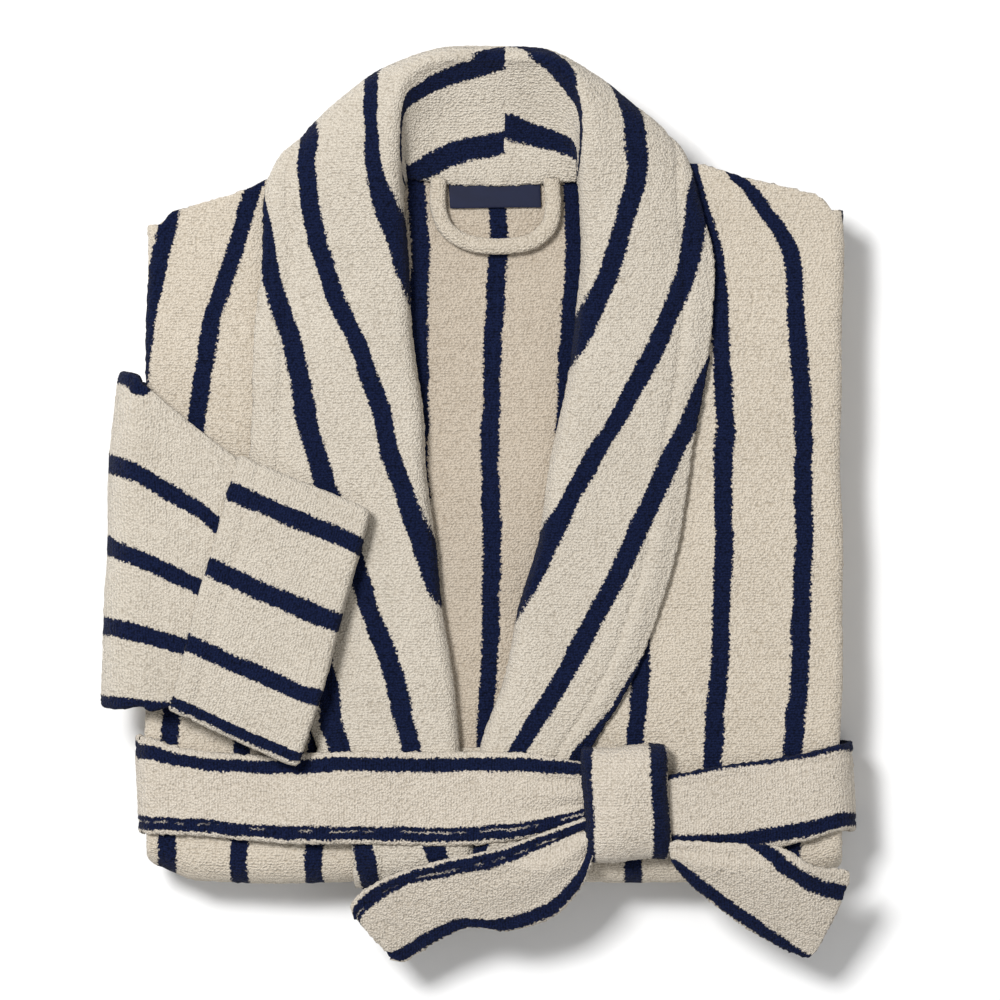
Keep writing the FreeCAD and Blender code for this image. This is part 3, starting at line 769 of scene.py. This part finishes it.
def sleeve_grain(grid):
    """Stripes run along the sleeve, so they are read across it."""
    rows = [[(y, x) for y, x in line] for line in SLEEVE_STRIPES]
    across = grain_from_stripes(grid[..., 1], np.clip(grid[..., 0], -250, -120), rows, -2)
    return pair(across, grid[..., 0])


FOLD_HIGH = cad("sleeve_right_fold")[1]
ARM_LOW, ARM_HIGH = cad("sleeve_right_forearm")
ARM_Z = (ARM_LOW[2] + ARM_HIGH[2]) / 2
BEND_X = FOLD_HIGH[0]
BEND_R = (ARM_Z - GAP_Z) / 2
BEND_Z = GAP_Z + BEND_R
CUFF_ANGLE, CUFF_SKEW = -24.0, 8.0             # way out along the arm, and the slant of the cuff's hem
CUFF_DEPTH, CUFF_OPEN = 86.0, 164.0            # along the arm, and across the flattened cuff
CUFF_CORNER = np.array([-158.7, 55.8, ARM_Z])
CUFF_LIFT = 1.5                                # the turned-back cuff rides a little over the sleeve
CUFF_HEM = 12.5                                # from the edge to its stitched line
CUFF_TURN_RINGS = 8                            # rings of the turn at the hand, which have no hem
CUFF_TURN = (30, 60, 90, 120, 150, 180)


def heading(degrees):
    return np.array([math.cos(math.radians(degrees)), math.sin(math.radians(degrees)), 0])


ALONG = heading(CUFF_ANGLE)
DOWN = -heading(CUFF_ANGLE + CUFF_SKEW + 90)


def cuff_place(out, down, lift=0.0):
    """A place on the cuff: out towards the hand, down across it, and lifted off its middle."""
    return CUFF_CORNER + ALONG * out + DOWN * down + np.array([0, 0, lift])


def sleeve_right_lower():
    """The fold round the side and the part laid on the front, in one piece."""
    rails = [((-165, 98, GAP_Z), (-165, -96, GAP_Z)), ((-200, 99, GAP_Z), (-200, -97, GAP_Z))]
    for a in np.radians(np.linspace(-90, -270, 7)):
        x, z = BEND_X + BEND_R * math.cos(a), BEND_Z + BEND_R * math.sin(a)
        out = 7 * math.sqrt(max(0.0, -math.cos(a)))
        rails.append(((x + out, 99 + out, z), (x - out * 0.6, -97 - out / 4, z)))
    rails += [((-196, 77, ARM_Z), (-216, -100, ARM_Z))]
    rails += [(cuff_place(out, 5), cuff_place(out, CUFF_OPEN - 5)) for out in (2, 30, 60, CUFF_DEPTH - 9)]
    grid = flat_tube(rails, 150, 190, 6.4)
    wrinkle = np.sin(grid[..., 0] / 9.0 + grid[..., 1] / 31) * smooth(-grid[..., 0], 150, 190)
    grid[..., 2] += 0.5 * wrinkle
    cloth = ring_shell(grid, sleeve_grain(grid), thick=3.6)
    nodes = ["sleeve_right_fold", "sleeve_right_forearm"]
    piece = cloth_piece("sleeve_right", [cloth], SLEEVE_TERRY, body=None, stands_for=nodes)
    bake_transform(piece)


def sleeve_right_upper():
    """The part between the sections, from the armhole to the side."""
    rails = [((-78, 178, GAP_Z), (-78, 20, GAP_Z)), ((-100, 190, GAP_Z), (-100, -40, GAP_Z)),
             ((-150, 188, GAP_Z), (-150, -80, GAP_Z)), ((-190, 150, GAP_Z), (-190, -94, GAP_Z)),
             ((-217, 104, GAP_Z), (-217, -97, GAP_Z))]
    grid = flat_tube(rails, 60, 110, 9.4)
    cloth = ring_shell(grid, sleeve_grain(grid))
    piece = cloth_piece("sleeve_right_upper", [cloth], SLEEVE_TERRY)


def cuff_rings(place, depth, width, height, round_count=170):
    """Rings of a turned-back cuff, from its hem to the fold at the hand, and a little way back inside."""
    across, high = flat_ring(round_count, 0.34)
    outs = [(out, 1.0) for out in steps(0, depth - 6, 2.1)]
    turn = np.radians(CUFF_TURN)
    outs += [(depth - 6 + 5 * math.sin(a), 1 - 0.42 * (1 - math.cos(a)) / 2) for a in turn]
    outs += [(depth - 9, 0.56), (depth - 15, 0.5)]
    rings = []
    for out, share in outs:
        inset = 3.4 * (1 - share) * 2
        down = width / 2 - across * (width / 2 - inset - 2)
        rings.append([place(out, d, h * share * height / 2) for d, h in zip(down, high)])
    return np.array(rings), np.array([out for out, share in outs]), width / 2 - across * width / 2


CUFF_PLACES = (0, 21.5, 72, 122, 154.5, 159.5, 164)
CUFF_GRAIN = (-21.5, 0, 48, 96, 134.5, 144, 152.5)


def cuff_grain(outs, downs):
    """The last stripe runs along the lower edge of the cuff, narrowed by the fold."""
    stripes = np.interp(downs, CUFF_PLACES, CUFF_GRAIN)
    across = np.broadcast_to(stripes, (len(outs), len(downs)))
    return pair(across, np.broadcast_to(outs[:, None], across.shape))


def cuff_right():
    rings, outs, downs = cuff_rings(cuff_place, CUFF_DEPTH, CUFF_OPEN, 10.8)
    outside = np.arange(len(outs)) < len(outs) - CUFF_TURN_RINGS
    hem = stitched(outs, CUFF_HEM, 1.6, 1.3) * outside
    puff = 1 + 0.06 * np.sin(outs / 13.0)
    rings[..., 2] = ARM_Z + CUFF_LIFT + (rings[..., 2] - ARM_Z) * puff[:, None]
    groove = np.broadcast_to(hem[:, None], rings.shape[:2])
    cloth = ring_shell(rings, cuff_grain(outs, downs), thick=4.2, groove=groove.T)
    piece = cloth_piece("cuff_right", [cloth], SLEEVE_TERRY, "turned_cuff")


def hidden_left_sleeve():
    """The left sleeve and its cuff lie between the sections."""
    arm_low, arm_high = cad("sleeve_left")
    cuff_low, cuff_high = cad("cuff_left")
    x0, x1 = arm_low[0] + 3, arm_high[0] - 3
    rails = [((x1, y, GAP_Z), (x0, y, GAP_Z)) for y in (arm_high[1] - 4, 120, 60, 0, cuff_high[1] + 2)]
    rails += [((x1 - 3, y, GAP_Z), (x0 + 3, y, GAP_Z)) for y in (cuff_high[1] - 20, cuff_low[1] + 10)]
    grid = flat_tube(rails, 80, 90, 6.0)
    grain = pair(grid[..., 0] - 130, grid[..., 1])
    cloth = ring_shell(grid, grain)
    arm = cloth_piece("sleeve_left", [cloth], SLEEVE_TERRY)

    def place(out, down, lift):
        return np.array([x1 + 2 - down, cuff_high[1] - out, GAP_Z + lift])

    rings, outs, downs = cuff_rings(place, cuff_high[1] - cuff_low[1], x1 - x0 + 4, 9.4, 80)
    cloth = ring_shell(rings, cuff_grain(outs, downs))
    cuff = cloth_piece("cuff_left", [cloth], SLEEVE_TERRY)


# ---- belt --------------------------------------------------------------------
# x and z of the middle of the belt, y of its middle, width, places of the upper and of the lower stripe
BELT_FRONT = [
    (-221, 52.5, -149, 57, 0.385, -0.41), (-214, 57.8, -149.5, 56, 0.385, -0.41),
    (-190, 59.2, -153, 49, 0.385, -0.41), (-150, 60.2, -156, 49, 0.395, -0.41),
    (-114, 63.3, -157, 52, 0.395, -0.41), (-70, 64.2, -157, 53, 0.395, -0.41),
    (-13, 64.2, -156.6, 53, 0.395, -0.41), (22, 64.2, -155.5, 47, 0.395, -0.41),
    (46, 64.2, -153.5, 36, 0.43, -0.40), (60, 64.2, -154, 33, 0.46, -0.38),
    (92, 64.2, -164, 40, 0.55, -0.37), (112, 64.2, -166, 47, 0.60, -0.37),
    (145, 62.2, -163, 51, 0.60, -0.38), (185, 60.2, -157, 50, 0.59, -0.39),
    (206, 58, -152.5, 49, 0.57, -0.40), (214, 52.5, -152, 50, 0.55, -0.40),
]
BELT_REST = [
    (217.6, 44, -152, 51, 0.53, -0.40), (218.4, 28, -152.5, 53, 0.52, -0.40),
    (217, 9, -153, 54, 0.51, -0.40), (208, 2.8, -153, 54, 0.50, -0.40),
    (120, 2.6, -153, 54, 0.46, -0.40), (0, 2.6, -153, 54, 0.44, -0.40),
    (-120, 2.6, -153, 54, 0.43, -0.40), (-214, 2.8, -152, 54, 0.42, -0.40),
    (-223, 9, -151, 55, 0.41, -0.41), (-224.2, 28, -150, 57, 0.40, -0.41),
    (-223.6, 44, -149, 58, 0.40, -0.41),
]


BELT_CLOTH = 4.6                               # two layers of terry
BELT_HEM = 5.5                                 # from the edge to its stitched line
BELT_COLUMNS = 560
TAIL_RUN = 170.0                               # length of a tail
TAIL_DROOP = 0.42                              # how steeply a tail falls past the bottom fold


def belt_wrap():
    """The belt's run round the packet, as a closed band."""
    line = np.array(BELT_FRONT + BELT_REST + BELT_FRONT[:1])
    places = spread(line[:, :2], BELT_COLUMNS + 1)[:-1]
    x, z, y, width, upper, lower = through(line, places).T
    across = np.linspace(-0.5, 0.5, 30)
    middle = np.stack([x, z], axis=1)
    turn = unit(np.roll(middle, -1, axis=0) - np.roll(middle, 1, axis=0))
    out = np.stack([-turn[:, 1], turn[:, 0]], axis=1)
    ripple = 0.45 * np.sin(x / 17.0) + 0.3 * np.sin(x / 7.3 + 1.0)
    gather = np.exp(-((x - 44) / 26) ** 2) * (z > 40)
    fold = (ripple[:, None] * across[None, :] * 1.4
            + gather[:, None] * 1.2 * np.cos(across[None, :] * 2 * math.pi * 2.5))
    grid = np.empty((BELT_COLUMNS, len(across), 3))
    grid[..., 0] = x[:, None] + out[:, :1] * fold
    grid[..., 2] = z[:, None] + out[:, 1:] * fold
    grid[..., 1] = y[:, None] + width[:, None] * across[None, :] + 0.5 * np.sin(x / 29)[:, None]
    share = (upper[:, None] - across[None, :]) / (upper - lower)[:, None]
    share = share + 2 * (x > 55)[:, None]
    grain = pair(share * PITCH, np.broadcast_to(x[:, None], share.shape))
    edge = np.minimum(across + 0.5, 0.5 - across)[None, :] * width[:, None]
    groove = stitched(edge, BELT_HEM, 1.4, 0.7)
    cloth = shell(grid, grain, thick=BELT_CLOTH, groove=groove, closed=True)
    piece = cloth_piece("belt_wrap", [cloth], BELT_TERRY, "belt")


def banner(upper, lower, levels, count, across_count, bulge=0.0):
    """A band between an upper and a lower rail, with its height down its length."""
    upper, lower = np.array(upper, float), np.array(lower, float)
    places = spread((upper + lower) / 2, count)
    u, l = through(upper, places), through(lower, places)
    z = through(np.array(levels, float)[:, None], places)[:, 0]
    t = np.linspace(0, 1, across_count)
    flat = u[:, None] * (1 - t)[None, :, None] + l[:, None] * t[None, :, None]
    rise = z[:, None] + bulge * np.sin(math.pi * t)[None, :]
    return np.concatenate([flat, rise[..., None]], axis=-1), t


def belt_tail(word, upper, lower, levels, stripes, fold):
    """One tail; its stripes are two shares, or a slanted line and its pitch."""
    grid, t = banner(upper, lower, levels, 100, 34, 1.0)
    run = np.linspace(0, 1, len(grid))
    grid[..., 2] += fold * (1 - run)[:, None] ** 2 * np.cos(t * 4 * math.pi)[None, :]
    last = np.clip((run - 0.955) / 0.045, 0, 1)
    pull = 0.17 * (1 - np.sqrt(1 - last ** 2))
    middle = grid.mean(axis=1, keepdims=True)
    grid[..., :2] -= (grid - middle)[..., :2] * pull[:, None, None]
    over = np.clip(FOLD_Y + 12 - grid[..., 1], 0, None)
    grid[..., 2] -= TAIL_DROOP * over
    if len(stripes) == 2:
        top, bottom = stripes
        across = np.broadcast_to((bottom - t) / (bottom - top) * PITCH, grid.shape[:2])
    else:
        x, y, turn, gap = stripes
        out = heading(turn)[:2]
        across = 3 * PITCH - (grid[..., :2] - (x, y)) @ out * PITCH / gap
    grain = pair(across, grid[..., 0])
    edge = np.minimum(t, 1 - t)[None, :] * np.linalg.norm(grid[:, -1] - grid[:, 0], axis=1)[:, None]
    from_end = (1 - run)[:, None] * TAIL_RUN
    groove = stitched(edge, BELT_HEM, 1.4, 0.7) + stitched(from_end, 13, 1.5, 0.9)
    cloth = shell(grid, grain, thick=BELT_CLOTH, groove=groove)
    piece = cloth_piece(f"belt_tail_{word}", [cloth], BELT_TERRY, None)
    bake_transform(piece)
    return piece


def belt_tails():
    upper = [(53, -169), (30, -178), (0, -189), (-30, -195), (-60, -204), (-80, -214), (-94, -226)]
    lower = [(57, -190), (50, -207), (32, -228), (4, -238), (-22, -236), (-44, -246), (-65, -260)]
    levels = [70, 70.5, 71, 71, 71, 71, 71]
    left = belt_tail("left", upper, lower, levels, (0.08, 0.93), 1.5)
    upper = [(106, -184), (140, -186), (171, -188), (193, -201), (217, -215)]
    lower = [(108, -196), (122, -211), (146, -231), (170, -246), (192, -256)]
    slant = (105.2, -196, 53.4, 41)
    right = belt_tail("right", upper, lower, levels[:5], slant, 1.0)


def belt_knot():
    """A band of the belt brought over the crossing and tucked down behind it."""
    x0, x1 = KNOT_LOW[0], KNOT_HIGH[0]
    base, crown = BELT_HIGH[2] - 3.0, KNOT_HIGH[2] - 3.4
    wide, long = 42, 60
    t = np.linspace(-1, 1, wide)
    rows = np.linspace(-1, 1, long)
    grid = np.empty((long, wide, 3))
    waist = 1 - 0.035 * np.cos(rows * math.pi / 2) ** 2
    centre = (x0 + x1) / 2 + 0.8 * np.sin(rows * 2.2)
    grid[..., 0] = centre[:, None] + waist[:, None] * (x1 - x0 - 5) / 2 * t[None, :]
    middle_y = (KNOT_LOW[1] + KNOT_HIGH[1]) / 2
    grid[..., 1] = middle_y - rows[:, None] * 33.0 + 1.2 * np.sin(t * 2.6)[None, :]
    arch = np.sqrt(np.clip(1 - np.abs(rows) ** 3.2, 0, 1))
    side = np.sqrt(np.clip(1 - 0.86 * np.abs(t) ** 5, 0, 1))
    crease = 0.8 * np.cos(t * 5.3 + 0.6)[None, :] * (1 - 0.5 * arch[:, None])
    grid[..., 2] = base + (crown - base) * arch[:, None] * side[None, :] + crease
    across = np.broadcast_to((t + 0.97) / 1.77 * PITCH + 2 * PITCH, grid.shape[:2])
    grain = pair(across, grid[..., 1])
    cloth = shell(grid, grain, thick=5.4)
    piece = cloth_piece("belt_knot", [cloth], BELT_TERRY, "belt")


# ---- hanging loop, labels, pockets and belt loops ----------------------------
LOOP_LINE = [(-37.8, 226.5), (-38.8, 218), (-38.6, 206), (-33, 194), (-18, 186), (3, 184.6), (19, 188),
             (29.5, 198), (32.6, 210), (32.4, 220), (31.8, 226.5)]


def hang_loop():
    """A soft tube with sewn ends."""
    places = spread(np.array(LOOP_LINE), 110)
    line = through(np.array(LOOP_LINE), places)
    z = np.full(len(line), BACK_Z + 5.4)
    middle = np.column_stack([line, z])
    tangent = unit(np.gradient(middle, axis=0))
    side = unit(np.cross(tangent, [0, 0, 1.0]))
    turns = np.linspace(0, 2 * math.pi, 22, endpoint=False)
    wide = 4.3 * np.sign(np.cos(turns)) * np.abs(np.cos(turns)) ** 0.8
    tall = 2.6 * np.sign(np.sin(turns)) * np.abs(np.sin(turns)) ** 0.8
    upward = np.array([0, 0, 1.0])
    rings = middle[:, None] + side[:, None] * wide[None, :, None] + upward * tall[None, :, None]
    grain = pair(np.broadcast_to(turns * 4, rings.shape[:2]), rings[..., 1])
    cloth = ring_shell(rings, grain, thick=1.4, pile=0.3)
    piece = cloth_piece("hang_loop", [cloth], LOOP_TERRY, None)
    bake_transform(piece)


def flat_piece(node, low, high, material, size, thick, bow=0.0):
    """A small flat cloth between two corners, slightly bowed."""
    xs, ys = steps(low[0], high[0], size), steps(low[1], high[1], size)
    grid = np.empty((len(ys), len(xs), 3))
    grid[..., 0], grid[..., 1] = np.meshgrid(xs, ys[::-1])
    middle = (low[2] + high[2]) / 2
    share = (grid[..., 0] - low[0]) / (high[0] - low[0])
    grid[..., 2] = middle + bow * np.sin(math.pi * share)
    grain = grid[..., :2].copy()
    cloth = shell(grid, grain, thick=thick, pile=0.02 if thick < 2 else 0.3)
    piece = cloth_piece(node, [cloth], material)
    wide, long = ((high - low)[:2] + thick * 0.7) * MM
    max(wide, 0.01)


def small_pieces():
    low, high = cad("neck_label")
    lift = np.array([1.0, 1.5, 1.6])
    low, high = low + lift, high + lift - (2.0, 0, 0)
    flat_piece("neck_label", low, high, LABEL_CLOTH, 1.5, 0.8, 0.5)
    low, high = cad("care_label")
    flat_piece("care_label", low, high, CARE_CLOTH, 4.0, 0.5)
    for word in ("right", "left"):
        low, high = cad(f"pocket_{word}")
        flat_piece(f"pocket_{word}", low + 1, high - 1, BODY_TERRY, 5.0, 3.0)
        low, high = cad(f"belt_loop_{word}")
        flat_piece(f"belt_loop_{word}", low, high, LOOP_TERRY, 2.0, 2.2)


# ---- studio ------------------------------------------------------------------
FRAME_WIDTH = 0.62
VIEW_CENTRE = (-0.0006, 0.0279)
VIEW_HEIGHT = 3.2


def camera():
    """Straight down over the robe, far enough away to look flat."""
    lens = bpy.data.cameras.new("overhead")
    lens.sensor_width = 36
    lens.lens = 36 * VIEW_HEIGHT / FRAME_WIDTH
    eye = bpy.data.objects.new("overhead", lens)
    eye.location = (*VIEW_CENTRE, VIEW_HEIGHT + 0.055)
    bpy.context.scene.collection.objects.link(eye)
    bpy.context.scene.camera = eye


def lamp(name, place, size, energy):
    """A square lamp that looks at the middle of the robe."""
    data = bpy.data.lights.new(name, "AREA")
    data.size = size
    data.energy = energy
    light = bpy.data.objects.new(name, data)
    light.location = place
    towards = -np.array(place)
    light.rotation_euler = (math.atan2(math.hypot(towards[0], towards[1]), -towards[2]), 0,
                            math.atan2(towards[1], towards[0]) - math.pi / 2)
    bpy.context.scene.collection.objects.link(light)


def studio():
    """A pale floor, one soft key lamp from the upper right shoulder, and a weak fill."""
    bpy.ops.mesh.primitive_plane_add(size=8, location=(0, 0, -0.0012))
    floor = bpy.context.active_object
    floor.name = "pale_floor"
    s = Shade("pale_paper")
    place = s.tree.nodes.new("ShaderNodeTexCoord")
    cloudy = s.noise(place.outputs["Object"], 40)
    s.put(s.skin.inputs["Base Color"], s.mix(cloudy, (0.9, 0.9, 0.9, 1), (0.93, 0.93, 0.93, 1)))
    s.skin.inputs["Roughness"].default_value = 0.9
    floor.data.materials.append(s.material)
    world = bpy.context.scene.world or bpy.data.worlds.new("studio")
    bpy.context.scene.world = world
    world.use_nodes = True
    world.node_tree.nodes["Background"].inputs["Color"].default_value = (1, 1, 1, 1)
    world.node_tree.nodes["Background"].inputs["Strength"].default_value = 0.37
    lamp("key", (-1.0, 0.96, 2.76), 0.7, 90)
    lamp("fill", (1.6, -0.9, 2.6), 2.2, 10)
    bpy.context.scene.view_settings.view_transform = "Standard"


# ---- the robe ----------------------------------------------------------------
back_panel()
front_panel_right()
front_panel_left()
collar_half(-1)
collar_half(1)
sleeve_right_upper()
sleeve_right_lower()
cuff_right()
hidden_left_sleeve()
belt_wrap()
belt_knot()
belt_tails()
hang_loop()
small_pieces()
camera()
studio()
